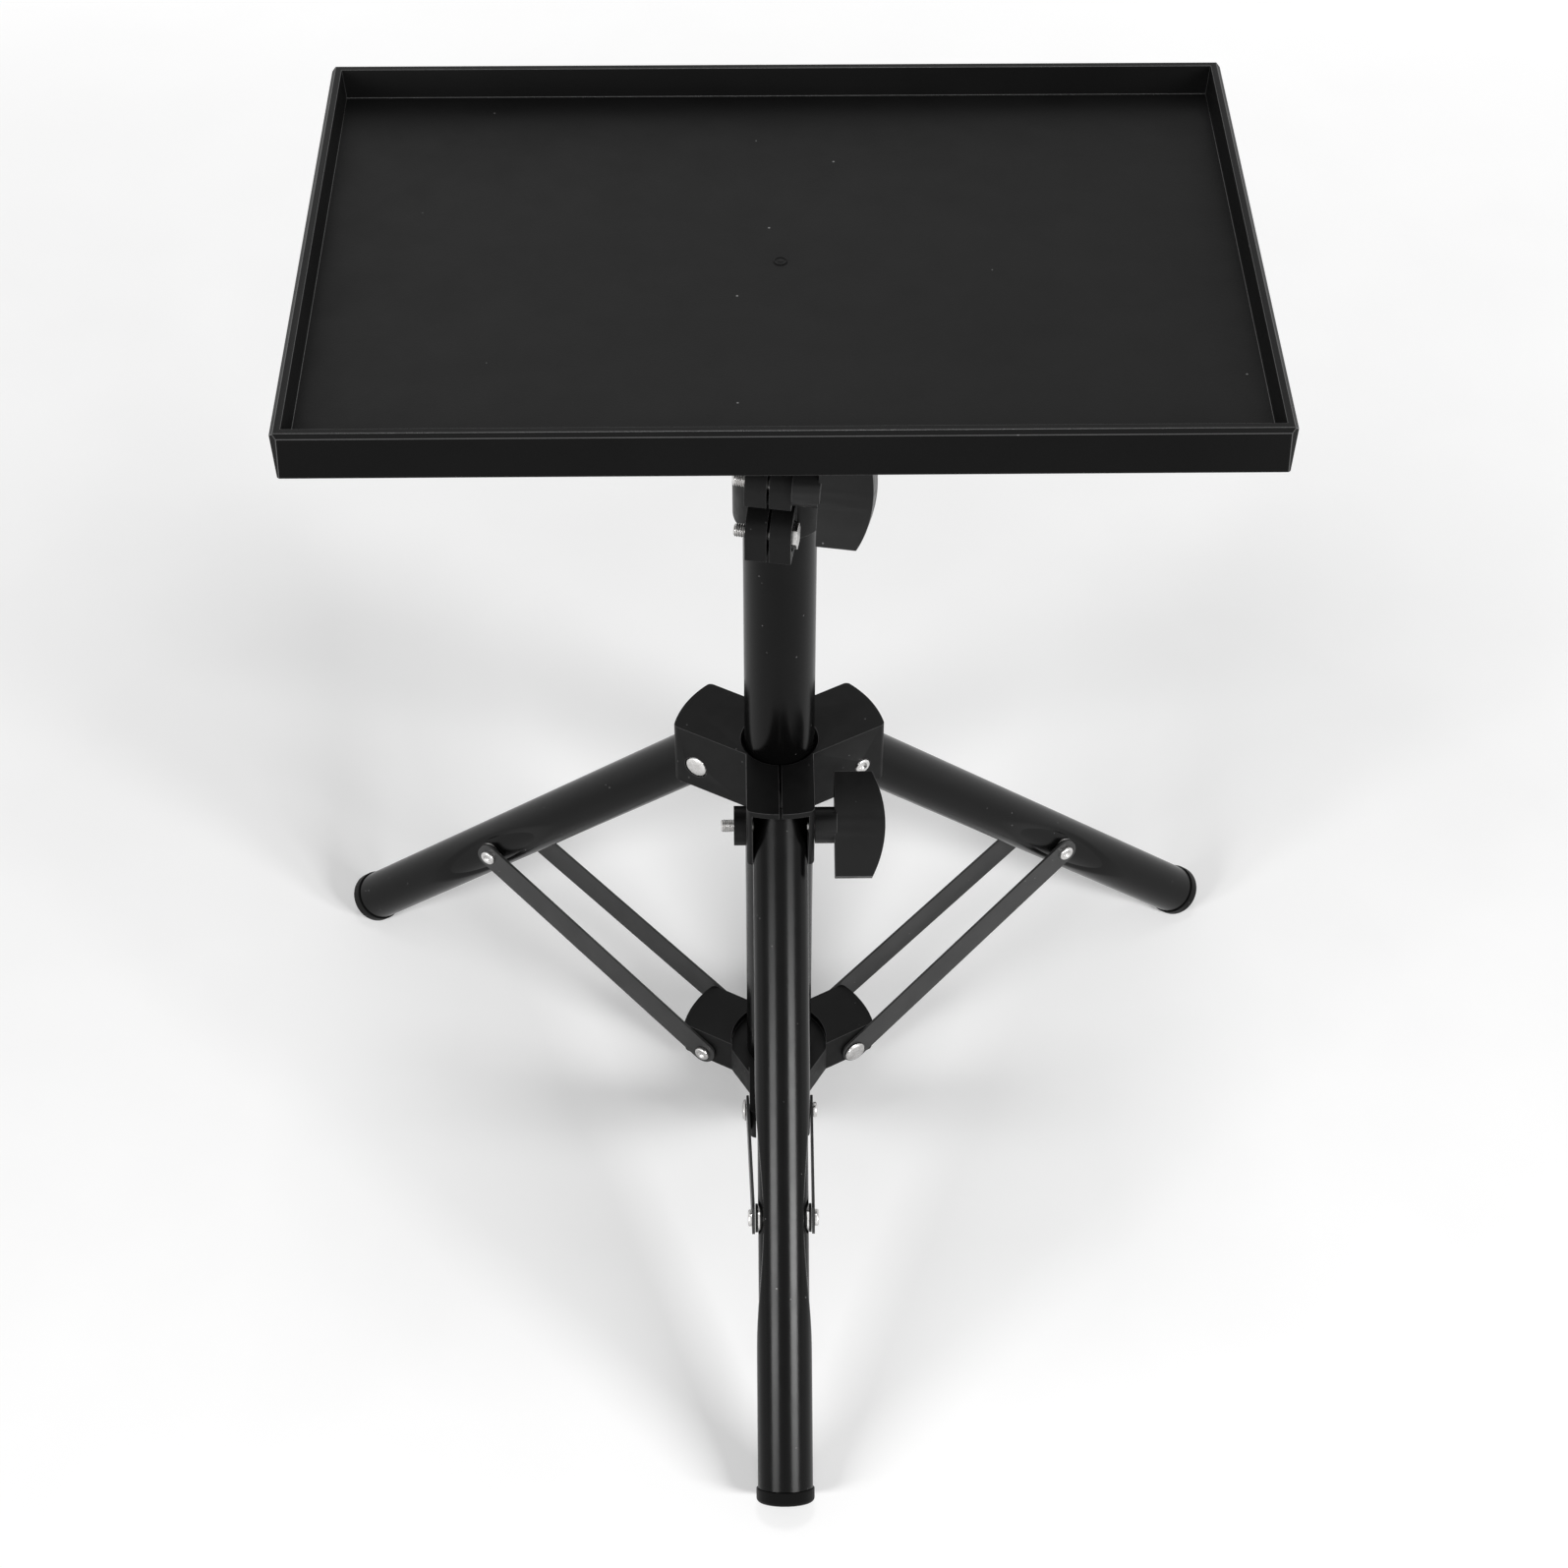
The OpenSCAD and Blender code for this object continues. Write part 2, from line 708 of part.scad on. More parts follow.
module tilt_base() {
    color("#1a1a1a") on_pole() difference() {
        union() {
            translate([0, 0, base_z]) cylinder(r = base_r, h = base_top - base_z);
            translate([-tongue_half, -knuckle_r, mast_top])
                cube([tongue_t, 2 * knuckle_r, tilt_up]);
            translate([-tongue_half, 0, tilt_z]) rotate([0, 90, 0])
                cylinder(r = knuckle_r, h = tongue_t);
        }
        translate([0, 0, base_z - over])
            cylinder(r = mast_r + seat_gap, h = base_seat + over);
        translate([-tongue_t, 0, tilt_z]) rotate([0, 90, 0])
            cylinder(r = bore_r, h = 2 * tongue_t);
    }
}

module height_knob() {
    arm(clamp_turn) translate([ear_bolt_r, ear_half + side_gap, high_bolt_z])
        wing_knob(high_neck_len, high_knob_hole, high_wing_angle);
}

module height_knob_bolt() {
    color("#c9c9c6") arm(clamp_turn) translate([ear_bolt_r, 0, high_bolt_z])
        bar_y(bolt_r, -ear_half - thread_out, ear_half + side_gap + high_knob_hole);
}

module height_nut() {
    color("#c9c9c6") arm(clamp_turn)
        translate([ear_bolt_r, -ear_half, high_bolt_z]) nut(bore_r);
}

// Tray, bracket and tilt bolt, whose axis runs along X through the head

module along_tilt() {
    on_pole() translate([0, 0, tilt_z]) rotate([0, 0, -90]) children();
}

// A block whose four sides lean in by one amount from its top to its foot
module leaning_block(w, d, h, lean) {
    intersection() {
        rotate([90, 0, 0]) linear_extrude(d, center = true) polygon([
            [-w / 2, h], [-w / 2 + lean, 0], [w / 2 - lean, 0], [w / 2, h]
        ]);
        rotate([90, 0, 90]) linear_extrude(w, center = true) polygon([
            [-d / 2, h], [-d / 2 + lean, 0], [d / 2 - lean, 0], [d / 2, h]
        ]);
    }
}

// One outline of the tray's rim, chamfered at the top
module rim_profile(width) {
    polygon([
        [-width / 2 + tray_draft, 0], [width / 2 - tray_draft, 0],
        [width / 2, tray_h - rim_chamfer], [width / 2 - rim_chamfer, tray_h],
        [-width / 2 + rim_chamfer, tray_h], [-width / 2, tray_h - rim_chamfer]
    ]);
}

module tray_plan() {
    x = tray_w / 2;
    y = tray_d / 2;
    c = corner_cut;
    polygon([
        [x - c, y], [x, y - c], [x, -y + c], [x - c, -y],
        [-x + c, -y], [-x, -y + c], [-x, y - c], [-x + c, y]
    ]);
}

module tray_outer() {
    intersection() {
        rotate([90, 0, 0]) linear_extrude(tray_d, center = true) rim_profile(tray_w);
        rotate([90, 0, 90]) linear_extrude(tray_w, center = true) rim_profile(tray_d);
        linear_extrude(tray_h) tray_plan();
    }
}

module tray_ribs() {
    in_w = tray_w - 2 * rim_t;
    in_d = tray_d - 2 * rim_t;
    for (i = [1 : rib_count_x - 1])
        translate([-in_w / 2 + i * in_w / rib_count_x - rib_t / 2, -in_d / 2, 0])
            cube([rib_t, in_d, pad_depth]);
    for (i = [1 : rib_count_y - 1])
        translate([-in_w / 2, -in_d / 2 + i * in_d / rib_count_y - rib_t / 2, 0])
            cube([in_w, rib_t, pad_depth]);
    translate([-pad_w / 2, -pad_w / 2, 0]) cube([pad_w, pad_w, pad_depth]);
}

module screw_places() {
    for (x = [-1, 1])
        for (y = [-1, 1])
            translate([x * screw_at, y * screw_at, 0]) children();
}

module tray() {
    in_w = tray_w - 2 * rim_t;
    in_d = tray_d - 2 * rim_t;
    color("#232324") on_pole() translate([0, 0, tray_z]) difference() {
        tray_outer();
        translate([0, 0, tray_h - tray_recess])
            leaning_block(in_w, in_d, tray_recess + over, recess_draft);
        difference() {
            translate([-in_w / 2, -in_d / 2, -over])
                cube([in_w, in_d, pad_depth + over]);
            tray_ribs();
        }
        screw_places() translate([0, 0, -over])
            cylinder(r = screw_d / 2 + seat_gap, h = pad_depth + over);
    }
}

// A three-cornered web from a cheek's outer face to the bracket's plate
module gusset() {
    top = tray_up - bracket_t;
    translate([-gusset_t / 2, 0, 0]) rotate([90, 0, 90]) linear_extrude(gusset_t)
        polygon([[0, top - gusset_h], [gusset_w, top], [0, top]]);
}

module tray_bracket() {
    color("#1a1a1a") difference() {
        union() {
            on_pole() translate([-bracket_w / 2, -bracket_w / 2, tray_z - bracket_t])
                cube([bracket_w, bracket_w, bracket_t]);
            along_tilt() for (side = [0, 1]) mirror([0, side, 0]) {
                bar_y(knuckle_r, cheek_in, cheek_out);
                translate([-knuckle_r, cheek_in, 0])
                    cube([2 * knuckle_r, cheek_t, tray_up - bracket_t + over]);
                for (end = [-1, 1])
                    translate([end * (knuckle_r - gusset_t / 2), cheek_out, 0]) gusset();
            }
        }
        along_tilt() bar_y(bore_r, -cheek_out - over, cheek_out + over);
        on_pole() translate([0, 0, tray_z - bracket_t - over])
            screw_places() cylinder(r = screw_d / 2 + seat_gap, h = bracket_t + 2 * over);
    }
}

module tray_screws() {
    color("#b9b9b6") on_pole() translate([0, 0, tray_z - bracket_t]) screw_places() {
        cylinder(r = screw_d / 2, h = screw_len);
        translate([0, 0, -screw_head_t]) cylinder(r = screw_head_r, h = screw_head_t);
    }
}

module tilt_nut() {
    color("#c9c9c6") along_tilt() translate([0, -cheek_out - nut_t, 0]) nut(bore_r);
}

module tilt_knob() {
    along_tilt() translate([0, cheek_out + side_gap, 0])
        wing_knob(neck_len, knob_hole, tilt_wing_angle);
}

module tilt_bolt() {
    color("#c9c9c6") along_tilt()
        bar_y(bolt_r, -cheek_out - nut_t - thread_out, cheek_out + side_gap + knob_hole);
}

main_pole();
pole_end_plug();
lower_spider();
spider_bolt(front_az);  // spider_bolt_front
spider_bolt(right_az);  // spider_bolt_right
spider_bolt(left_az);  // spider_bolt_left
top_clamp();
clamp_bolt();
clamp_nut();
leg_hub();
hub_nut();
pivot_bolt(right_az);  // pivot_bolt_right
pivot_bolt(left_az);  // pivot_bolt_left
hub_knob();
hub_knob_bolt();
leg(front_az);  // leg_front
leg(right_az);  // leg_right
leg(left_az);  // leg_left
foot(front_az);  // foot_front
foot(right_az);  // foot_right
foot(left_az);  // foot_left
leg_sleeve(front_az);  // leg_sleeve_front
leg_sleeve(right_az);  // leg_sleeve_right
leg_sleeve(left_az);  // leg_sleeve_left
strut(front_az);  // strut_front
strut(right_az);  // strut_right
strut(left_az);  // strut_left
strut_bolt(front_az);  // strut_bolt_front
strut_bolt(right_az);  // strut_bolt_right
strut_bolt(left_az);  // strut_bolt_left
inner_pole();
pole_bush();
tilt_base();
height_knob();
height_knob_bolt();
height_nut();
tray();
tray_bracket();
tray_screws();
tilt_nut();
tilt_knob();
tilt_bolt();
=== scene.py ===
import json
import math

import bmesh
import bpy
from mathutils import Matrix, Vector

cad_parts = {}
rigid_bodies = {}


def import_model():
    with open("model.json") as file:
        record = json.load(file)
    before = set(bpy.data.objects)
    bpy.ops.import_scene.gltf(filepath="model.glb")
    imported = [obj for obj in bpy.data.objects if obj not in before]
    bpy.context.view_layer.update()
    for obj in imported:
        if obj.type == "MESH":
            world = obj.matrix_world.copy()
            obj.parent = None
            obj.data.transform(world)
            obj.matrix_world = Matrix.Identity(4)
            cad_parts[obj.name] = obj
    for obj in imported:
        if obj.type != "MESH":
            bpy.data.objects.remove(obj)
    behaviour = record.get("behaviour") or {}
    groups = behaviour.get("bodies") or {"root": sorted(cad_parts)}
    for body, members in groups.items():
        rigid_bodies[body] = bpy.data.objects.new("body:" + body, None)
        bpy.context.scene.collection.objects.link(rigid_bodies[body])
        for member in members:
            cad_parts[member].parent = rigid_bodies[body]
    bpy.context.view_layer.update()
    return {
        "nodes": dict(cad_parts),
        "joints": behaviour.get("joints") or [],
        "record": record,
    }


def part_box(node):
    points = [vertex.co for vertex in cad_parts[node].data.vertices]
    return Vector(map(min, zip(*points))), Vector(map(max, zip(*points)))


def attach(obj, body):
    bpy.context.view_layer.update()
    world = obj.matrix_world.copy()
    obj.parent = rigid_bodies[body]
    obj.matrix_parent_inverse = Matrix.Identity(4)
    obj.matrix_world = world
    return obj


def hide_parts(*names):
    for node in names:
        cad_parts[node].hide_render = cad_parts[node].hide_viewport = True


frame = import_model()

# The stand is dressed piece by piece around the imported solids. All lengths are in metres.

MM = 0.001
NODES = frame["nodes"]
BEHAVIOUR = frame["record"]["behaviour"]
BODY_OF = {node: body for body, nodes in BEHAVIOUR["bodies"].items() for node in nodes}
JOINTS = {joint["name"]: joint for joint in frame["joints"]}
AZIMUTHS = {"front": -90, "right": 30, "left": 150}

# Sizes shared with the solids
LEG_ANGLE = 45
LEG_LENGTH = 306 * MM
LEG_RADIUS = 12.5 * MM
LEG_WALL = 1 * MM
LEG_OVER = 8 * MM
FOOT_RADIUS = 13.2 * MM
FOOT_LENGTH = 6.4 * MM
FOOT_ROUND = 2 * MM
STRUT_AT = 177.8 * MM
PINCH_HALF = 9.4 * MM
PINCH_SPAN = 62 * MM
PINCH_SOFT = 0.9 * MM
WASHER_OUT = 12.7 * MM
WASHER_RADIUS = 6.5 * MM
POLE_WALL = 1.2 * MM
MAST_WALL = 1 * MM
BOLT_RADIUS = 3 * MM
THREAD_PITCH = 1 * MM
THREAD_DEPTH = 0.55 * MM
THREAD_LENGTH = 15.08 * MM
HUB_HALF = 16.6 * MM
HEAD_SINK = 1.2 * MM
HEAD_EDGE = 0.35 * MM
DOME_RADIUS = 5.5 * MM
DOME_HEIGHT = 1.9 * MM
TAIL_RADIUS = 3.8 * MM
TAIL_HEIGHT = 1.8 * MM
TRAY_RECESS = 13 * MM
RIM = 4 * MM
BAR_THICKNESS = 1.3 * MM
BAR_SPIDER_Y = 15.3 * MM
BAR_LEG_Y = 12.95 * MM
BAR_WIDER = 1.19
SIDE_GAP = 0.3 * MM

# The photograph's camera, with its place measured from the pole's foot
LENS = 68.87
SENSOR = 36
CAMERA_OFFSET = Vector((-13.9 * MM, -989.9 * MM, 1194 * MM))
CAMERA_TURN = (45.369, -0.15, -0.781)

# The studio: each side lamp is rolled, so that its long side lies along the front leg's bands
LAMP_AIM_HEIGHT = 0.25
SIDE_LAMP_PLACE = (2.28, -2.3, 1.62)
SIDE_LAMP_SIZE = (1.7, 0.6)
SIDE_LAMP_ROLL = -32
SIDE_LAMP_POWER = {-1: 80, 1: 125}
WASH_BEHIND = 1.03
TOP_LAMP_PLACE = (0, 0.1, 4.2)
TOP_LAMP_SIZE = (0.7, 0.7)
TOP_LAMP_POWER = 14
WORLD_LIGHT = 0.22
WORLD_SEEN = 1.0
FLOOR_HALF = 3.0
GLOW_REACH = (0.5, 2.2)
GLOW_LEVEL = (0.17, 0.85)

# Places, read from the frame
POLE = (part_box("main_pole")[0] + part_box("main_pole")[1]) / 2
HUB_PIVOT = Vector(JOINTS["leg_front_fold"]["pos_m"])
SPIDER_PIVOT = Vector(JOINTS["strut_front_fold"]["pos_m"])
PIVOT_RADIUS = (HUB_PIVOT.xy - POLE.xy).length


# Small mesh tools

def link(obj):
    bpy.context.scene.collection.objects.link(obj)
    return obj


def piece_from(name, vertices, faces):
    mesh = bpy.data.meshes.new(name)
    mesh.from_pydata(vertices, [], faces)
    mesh.update()
    return link(bpy.data.objects.new(name, mesh))


def smooth(obj, degrees=30):
    """Rounds the shading, and keeps edges sharper than that many degrees."""
    mesh = obj.data
    mesh.polygons.foreach_set("use_smooth", [True] * len(mesh.polygons))
    mesh.set_sharp_from_angle(angle=math.radians(degrees))
    return obj


def fit(obj, node, material, replaced=()):
    """Puts a piece on a solid's body, gives it its finish and hides the solids it stands for."""
    obj.data.materials.clear()
    obj.data.materials.append(material)
    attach(obj, BODY_OF[node])
    if replaced:
        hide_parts(*replaced)
    return obj


def dress(node, material, edge=0.5 * MM, segments=3, edge_highlight_material=None):
    """A copy of a solid with its flat faces merged and its sharp edges rounded.

    The rounded edges can have a finish of their own; a lighter one there is a painted highlight
    along them.
    """
    mesh = NODES[node].data.copy()
    obj = link(bpy.data.objects.new("moulded_" + node, mesh))
    form = bmesh.new()
    form.from_mesh(mesh)
    bmesh.ops.remove_doubles(form, verts=form.verts, dist=0.002 * MM)
    bmesh.ops.dissolve_limit(
        form, angle_limit=math.radians(0.5), verts=form.verts, edges=form.edges
    )
    form.to_mesh(mesh)
    form.free()
    bevel = obj.modifiers.new("rounded_edges", "BEVEL")
    bevel.width = edge
    bevel.segments = segments
    bevel.limit_method = "ANGLE"
    bevel.angle_limit = math.radians(35)
    bevel.harden_normals = True
    smooth(obj, 35)
    fit(obj, node, material, replaced=[node])
    if edge_highlight_material:
        bevel.material = len(obj.data.materials)
        obj.data.materials.append(edge_highlight_material)
    return obj


def side_finish(obj, reach, material):
    """Another finish for the upright faces that lie further out than reach from the pole."""
    index = len(obj.data.materials)
    obj.data.materials.append(material)
    for face in obj.data.polygons:
        out = face.center.xy - POLE.xy
        upright = abs(face.normal.z) < 0.3 and face.normal.xy.dot(out) > 0
        if upright and (abs(out.x) > reach[0] or abs(out.y) > reach[1]):
            face.material_index = index


def widen(bars, side):
    """Makes a strut's bars a little wider across their length, in their own plane."""
    foot = spider_pivot(side)
    broad = (strut_point(side) - foot).cross(arm_axes(side)[1]).normalized()
    for vertex in bars.data.vertices:
        vertex.co += (BAR_WIDER - 1) * (vertex.co - foot).dot(broad) * broad


def lathe(profile, place=Matrix.Identity(4), steps=96):
    """Turns a profile of (radius, height) points round local Z; radius 0 closes an end."""
    vertices = []
    rings = []
    for radius, height in profile:
        if radius == 0:
            rings.append([len(vertices)])
            vertices.append(place @ Vector((0, 0, height)))
            continue
        rings.append(list(range(len(vertices), len(vertices) + steps)))
        for i in range(steps):
            turn = math.tau * i / steps
            point = Vector((radius * math.cos(turn), radius * math.sin(turn), height))
            vertices.append(place @ point)
    faces = []
    for low, high in zip(rings, rings[1:]):
        for i in range(steps):
            j = (i + 1) % steps
            corners = [low[i % len(low)], low[j % len(low)]]
            corners += [high[j % len(high)], high[i % len(high)]]
            faces.append(tuple(dict.fromkeys(corners)))
    return vertices, faces


def joined(name, parts):
    """One object from several (vertices, faces) pairs."""
    vertices = []
    faces = []
    for more_vertices, more_faces in parts:
        start = len(vertices)
        vertices += more_vertices
        faces += [tuple(start + i for i in face) for face in more_faces]
    return piece_from(name, vertices, faces)


def arc(centre, radius, first, last, steps=6):
    """Points (radius, height) along an arc, with its angles in degrees."""
    angles = [math.radians(first + (last - first) * i / steps) for i in range(steps + 1)]
    return [(centre[0] + radius * math.cos(a), centre[1] + radius * math.sin(a)) for a in angles]


def along(start, end):
    """A place at start whose local Z points to end."""
    turn = (end - start).to_track_quat("Z", "Y").to_matrix().to_4x4()
    return Matrix.Translation(start) @ turn


def tube_profile(outer, wall, low, high, lip=0.25 * MM):
    """A closed tube wall with rounded lips, from height low to height high."""
    inner = outer - wall
    return (
        [(inner, low + lip), (inner + lip, low), (outer - lip, low), (outer, low + lip)]
        + [(outer, high - lip), (outer - lip, high), (inner + lip, high), (inner, high - lip)]
        + [(inner, low + lip)]
    )


# Places of the arms

def arm_axes(side):
    """The outward and the sideways direction of one arm."""
    turn = math.radians(AZIMUTHS[side])
    outward = Vector((math.cos(turn), math.sin(turn), 0))
    return outward, Vector((-outward.y, outward.x, 0))


def hub_pivot(side):
    outward = arm_axes(side)[0]
    return Vector((POLE.x, POLE.y, HUB_PIVOT.z)) + PIVOT_RADIUS * outward


def spider_pivot(side):
    outward = arm_axes(side)[0]
    return Vector((POLE.x, POLE.y, SPIDER_PIVOT.z)) + PIVOT_RADIUS * outward


def leg_direction(side):
    lean = math.radians(LEG_ANGLE)
    return math.sin(lean) * arm_axes(side)[0] - math.cos(lean) * Vector((0, 0, 1))


def strut_point(side):
    return hub_pivot(side) + STRUT_AT * leg_direction(side)


# Materials: every finish is made of nodes in the piece's own space

class Finish:
    """A principled shader that grows by named layers."""

    def __init__(self, name, **fixed):
        self.material = bpy.data.materials.new(name)
        self.material.use_nodes = True
        self.nodes = self.material.node_tree.nodes
        self.links = self.material.node_tree.links
        self.shader = self.nodes["Principled BSDF"]
        for socket, value in fixed.items():
            self.shader.inputs[socket.replace("_", " ")].default_value = value
        self.space = self.nodes.new("ShaderNodeTexCoord").outputs["Object"]

    def noise(self, scale, detail=3.0, stretch=None):
        texture = self.nodes.new("ShaderNodeTexNoise")
        texture.inputs["Scale"].default_value = scale
        texture.inputs["Detail"].default_value = detail
        self.links.new(self.stretched(stretch), texture.inputs["Vector"])
        return texture.outputs["Fac"]

    def cells(self, scale, feature="F1"):
        texture = self.nodes.new("ShaderNodeTexVoronoi")
        texture.feature = feature
        texture.inputs["Scale"].default_value = scale
        self.links.new(self.space, texture.inputs["Vector"])
        return texture.outputs["Distance"]

    def stretched(self, stretch):
        if stretch is None:
            return self.space
        mapping = self.nodes.new("ShaderNodeMapping")
        mapping.inputs["Scale"].default_value = stretch
        self.links.new(self.space, mapping.inputs["Vector"])
        return mapping.outputs["Vector"]

    def ramp(self, value, low, high, to_low=0.0, to_high=1.0):
        node = self.nodes.new("ShaderNodeMapRange")
        for socket, number in zip(
            ("From Min", "From Max", "To Min", "To Max"), (low, high, to_low, to_high)
        ):
            node.inputs[socket].default_value = number
        self.links.new(value, node.inputs["Value"])
        return node.outputs["Result"]

    def distance(self):
        node = self.nodes.new("ShaderNodeVectorMath")
        node.operation = "LENGTH"
        self.links.new(self.space, node.inputs[0])
        return node.outputs["Value"]

    def times(self, first, second):
        node = self.nodes.new("ShaderNodeMath")
        node.operation = "MULTIPLY"
        for value, socket in zip((first, second), node.inputs):
            if isinstance(value, (int, float)):
                socket.default_value = value
            else:
                self.links.new(value, socket)
        return node.outputs["Value"]

    def mix(self, factor, first, second):
        node = self.nodes.new("ShaderNodeMix")
        node.data_type = "RGBA"
        self.links.new(factor, node.inputs["Factor"])
        for value, socket in ((first, node.inputs[6]), (second, node.inputs[7])):
            if isinstance(value, tuple):
                socket.default_value = (*value, 1)
            else:
                self.links.new(value, socket)
        return node.outputs[2]

    def specks(self, density, size):
        """A mask of sparse dust: small cells, and only few of them."""
        dots = self.ramp(self.cells(density), size, size * 0.6)
        few = self.ramp(self.noise(density * 0.37, 0.0), 0.62, 0.66)
        return self.times(dots, few)

    def colour(self, value):
        self.links.new(value, self.shader.inputs["Base Color"])

    def roughness(self, value):
        self.links.new(value, self.shader.inputs["Roughness"])

    def bump(self, height, strength, distance):
        node = self.nodes.new("ShaderNodeBump")
        node.inputs["Strength"].default_value = strength
        node.inputs["Distance"].default_value = distance
        self.links.new(height, node.inputs["Height"])
        before = self.shader.inputs["Normal"].links
        if before:
            self.links.new(before[0].from_socket, node.inputs["Normal"])
        self.links.new(node.outputs["Normal"], self.shader.inputs["Normal"])


def grey(value, warm=0.0):
    return (value * (1 + warm), value, value * (1 - warm))


def enamel_finish(name, tone, gloss, level):
    """Baked enamel on steel tube, with a little orange peel and dust."""
    finish = Finish(name, Specular_IOR_Level=level)
    cloud = finish.noise(55)
    base = finish.mix(finish.ramp(cloud, 0.3, 0.7), grey(tone * 0.8), grey(tone * 1.25))
    finish.colour(finish.mix(finish.specks(240, 0.1), base, grey(0.12)))
    finish.roughness(finish.ramp(finish.noise(90), 0.3, 0.7, gloss - 0.02, gloss + 0.03))
    finish.bump(finish.noise(420, 2.0), 0.06, 0.06 * MM)
    return finish.material


def nylon_finish(name, tone, roughness, grain=2600, level=0.14):
    """Moulded plastic with a fine spark grain."""
    finish = Finish(name, Specular_IOR_Level=level)
    cloud = finish.ramp(finish.noise(38), 0.35, 0.65)
    base = finish.mix(cloud, grey(tone * 0.85), grey(tone * 1.2))
    finish.colour(finish.mix(finish.specks(210, 0.1), base, grey(0.1)))
    finish.roughness(finish.ramp(finish.noise(150), 0.3, 0.7, roughness - 0.05, roughness + 0.06))
    finish.bump(finish.noise(grain, 4.0), 0.35, 0.05 * MM)
    return finish.material


def tray_finish(name, level):
    """Matte moulded tray with a leather-like grain, faint flow marks and dust."""
    finish = Finish(name, Specular_IOR_Level=level)
    flow = finish.noise(9, 4.0, (1.0, 1.6, 1.0))
    base = finish.mix(finish.ramp(flow, 0.35, 0.65), grey(0.003), grey(0.0045))
    finish.colour(finish.mix(finish.specks(85, 0.045), base, grey(0.25)))
    finish.roughness(finish.ramp(finish.noise(60), 0.3, 0.7, 0.4, 0.47))
    finish.bump(finish.cells(1500, "SMOOTH_F1"), 0.3, 0.06 * MM)
    finish.bump(finish.noise(3200, 3.0), 0.25, 0.04 * MM)
    return finish.material


def zinc_finish(name, tone, roughness):
    """Zinc plate with a fine uneven sheen."""
    finish = Finish(name, Metallic=1.0)
    base = finish.mix(
        finish.ramp(finish.noise(500), 0.3, 0.7), grey(tone * 0.82, 0.02), grey(tone * 1.08, 0.01)
    )
    finish.colour(base)
    marks = finish.noise(800)
    finish.roughness(finish.ramp(marks, 0.3, 0.7, roughness - 0.07, roughness + 0.1))
    finish.bump(finish.noise(1500, 2.0), 0.12, 0.04 * MM)
    return finish.material


ENAMEL = enamel_finish("tube_enamel", 0.0015, 0.22, 0.115)
STRUT_ENAMEL = enamel_finish("strut_enamel", 0.022, 0.42, 0.4)
NYLON = nylon_finish("black_nylon", 0.004, 0.42, level=0.12)
KNOB_NYLON = nylon_finish("knob_nylon", 0.006, 0.34, level=0.2)
FOOT = nylon_finish("foot_rubber", 0.003, 0.45, 1500, 0.08)
BUSH = nylon_finish("bush_plastic", 0.01, 0.45)
TRAY = tray_finish("tray_grain", 0.13)
TRAY_SIDE = tray_finish("tray_side_grain", 0.04)
# A lighter, glossier nylon for rounded edges: its lighter colour is a painted highlight line along
# the edges, and its stronger specular catches real ones.
EDGE_HIGHLIGHT = nylon_finish("painted_edge_highlight", 0.02, 0.3, 900, 0.7)
# A darker plastic for the gate's ring: painted shade standing in for the dark groove round the
# gate.
GATE_GROOVE_SHADE = nylon_finish("gate_painted_shade", 0.0015, 0.5)
ZINC = zinc_finish("zinc_plate", 0.62, 0.3)
THREAD_ZINC = zinc_finish("thread_zinc", 0.55, 0.34)


# Tubes

def pole_tube(node, wall):
    """A tube on the stand's upright axis, as wide and as high as its solid."""
    low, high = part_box(node)
    radius = (high.x - low.x) / 2
    place = Matrix.Translation((POLE.x, POLE.y, 0))
    name = "drawn_" + node
    vertices, faces = lathe(tube_profile(radius, wall, low.z, high.z), place, 128)
    return fit(smooth(piece_from(name, vertices, faces)), node, ENAMEL, replaced=[node])


def dented(point):
    """Presses the two flat dents for the strut's bolt into a leg, in the leg's own space."""
    away = abs(point.z - STRUT_AT)
    if away > PINCH_SPAN:
        return point
    rise = (1 - math.cos(math.pi * away / PINCH_SPAN)) / 2
    limit = PINCH_HALF + (LEG_RADIUS - PINCH_HALF) * rise
    soft = PINCH_SOFT * (1 - rise)
    if soft == 0:
        return point
    side = abs(point.y)
    if side > limit - soft:
        side = limit - soft * math.exp(-(side - limit + soft) / soft)
    return Vector((point.x, math.copysign(min(side, abs(point.y)), point.y), point.z))


def leg_place(side):
    """Local Z runs down the leg and local Y points sideways, as in the solids."""
    down = leg_direction(side)
    across = arm_axes(side)[1]
    turn = Matrix((across.cross(down), across, down)).transposed().to_4x4()
    return Matrix.Translation(hub_pivot(side)) @ turn


def leg_tube(side):
    """A leg's tube, with rings close together where the strut's bolt dents it."""
    node = "leg_" + side
    end = LEG_LENGTH - FOOT_LENGTH
    profile = tube_profile(LEG_RADIUS, LEG_WALL, -LEG_OVER, end)
    steps = 48
    extra = [
        (LEG_RADIUS, STRUT_AT + PINCH_SPAN * (2 * i / steps - 1)) for i in range(steps + 1)
    ]
    start = 4  # the first four points of a tube's profile are its lower lip
    profile = profile[:start] + extra + profile[start:]
    vertices, faces = lathe(profile, steps=160)
    outside = LEG_RADIUS - LEG_WALL / 2
    place = leg_place(side)
    shaped = [place @ (dented(v) if v.xy.length > outside else v) for v in vertices]
    return fit(smooth(piece_from("drawn_" + node, shaped, faces)), node, ENAMEL, replaced=[node])


